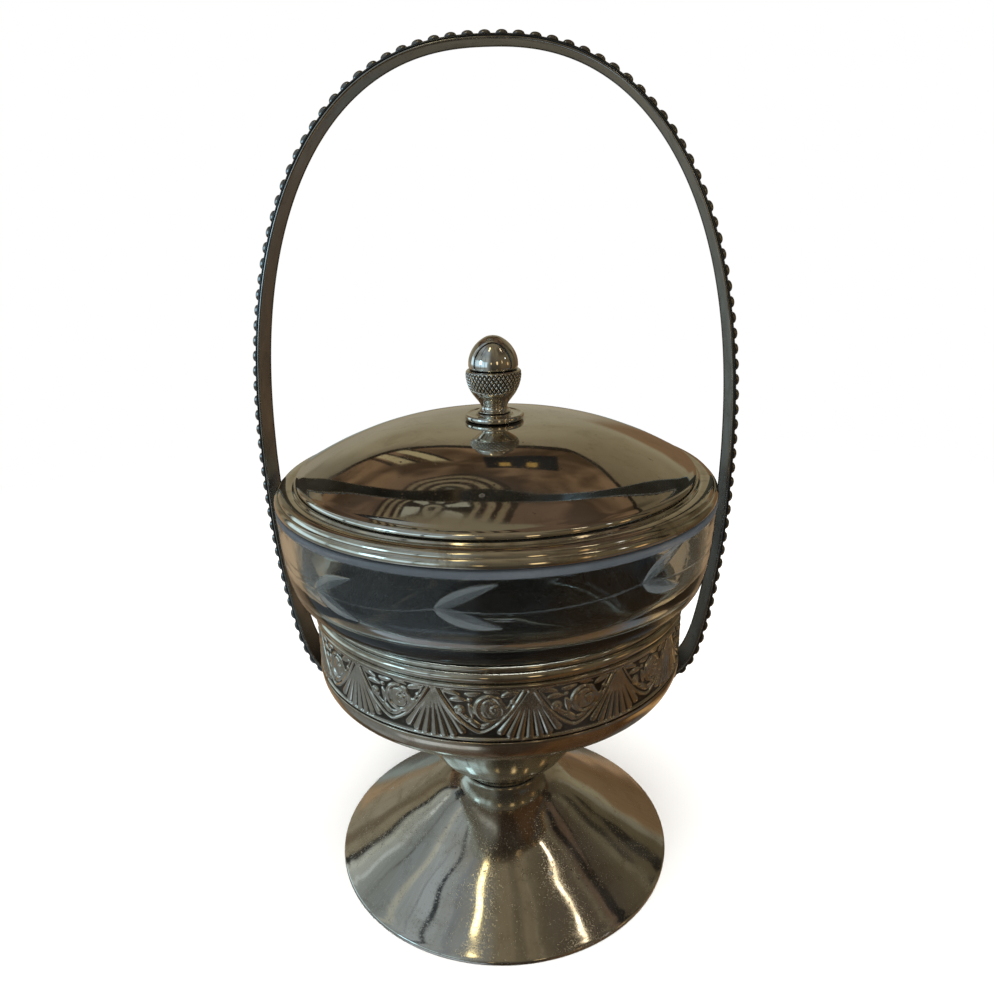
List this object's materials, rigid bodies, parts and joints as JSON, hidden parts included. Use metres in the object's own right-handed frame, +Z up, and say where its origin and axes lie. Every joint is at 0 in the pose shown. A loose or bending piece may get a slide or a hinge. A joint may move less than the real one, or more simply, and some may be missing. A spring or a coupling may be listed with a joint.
{
  "type": "footed sugar bowl",
  "caption": "Footed sugar bowl: plated stand with a tall beaded hoop handle, an embossed band, a lift-out cut-glass liner and a domed lid with an acorn finial.",
  "frame": {"origin": "centre of the foot's rim, on the surface the bowl stands on", "axes": "+Z up through the stem and the finial; the hoop handle lies in the XZ plane, so its legs are at -X and +X; -Y is the side shown in front"},
  "size_m": [0.1334, 0.124, 0.2377],
  "materials": {
    "foot_plate": "worn, tarnished silver plate with pits and fine scratches",
    "cup_plate": "tarnished silver plate, brownish in the hollows",
    "embossed_plate": "embossed silver plate with dark patina in the recesses",
    "handle_plate": "dark tarnished silver plate",
    "lid_plate": "mirror-like silver plate, slightly tarnished",
    "finial_plate": "bright silver plate, cross-hatched cup",
    "fixings": "plain turned brass",
    "liner_glass": "clear glass with matt wheel-cut leaves"
  },
  "bodies": {
    "stand": {"foot": "foot_plate", "stem_collar": "foot_plate", "stem_bolt": "fixings", "stem_washer": "fixings", "stem_nut": "fixings", "cup": "cup_plate", "embossed_band": "embossed_plate", "cup_rim_moulding": "cup_plate", "handle_strip": "handle_plate", "front_bead_wire": "handle_plate", "rear_bead_wire": "handle_plate"},
    "liner": {"glass_liner": "liner_glass"},
    "lid": {"lid_dome": "lid_plate", "lid_border_ring": "lid_plate", "lid_bezel": "lid_plate", "finial_disc": "finial_plate", "finial_cup": "finial_plate", "finial_acorn": "finial_plate", "finial_stud": "fixings", "finial_washer": "fixings", "finial_nut": "fixings"}
  },
  "joints": [
    {"name": "liner_lift", "type": "slide", "parent": "stand", "child": "liner", "axis": [0, 0, 1], "range_m": [0, 0.019]},
    {"name": "lid_lift", "type": "slide", "parent": "liner", "child": "lid", "axis": [0, 0, 1], "range_m": [0, 0.014]}
  ]
}
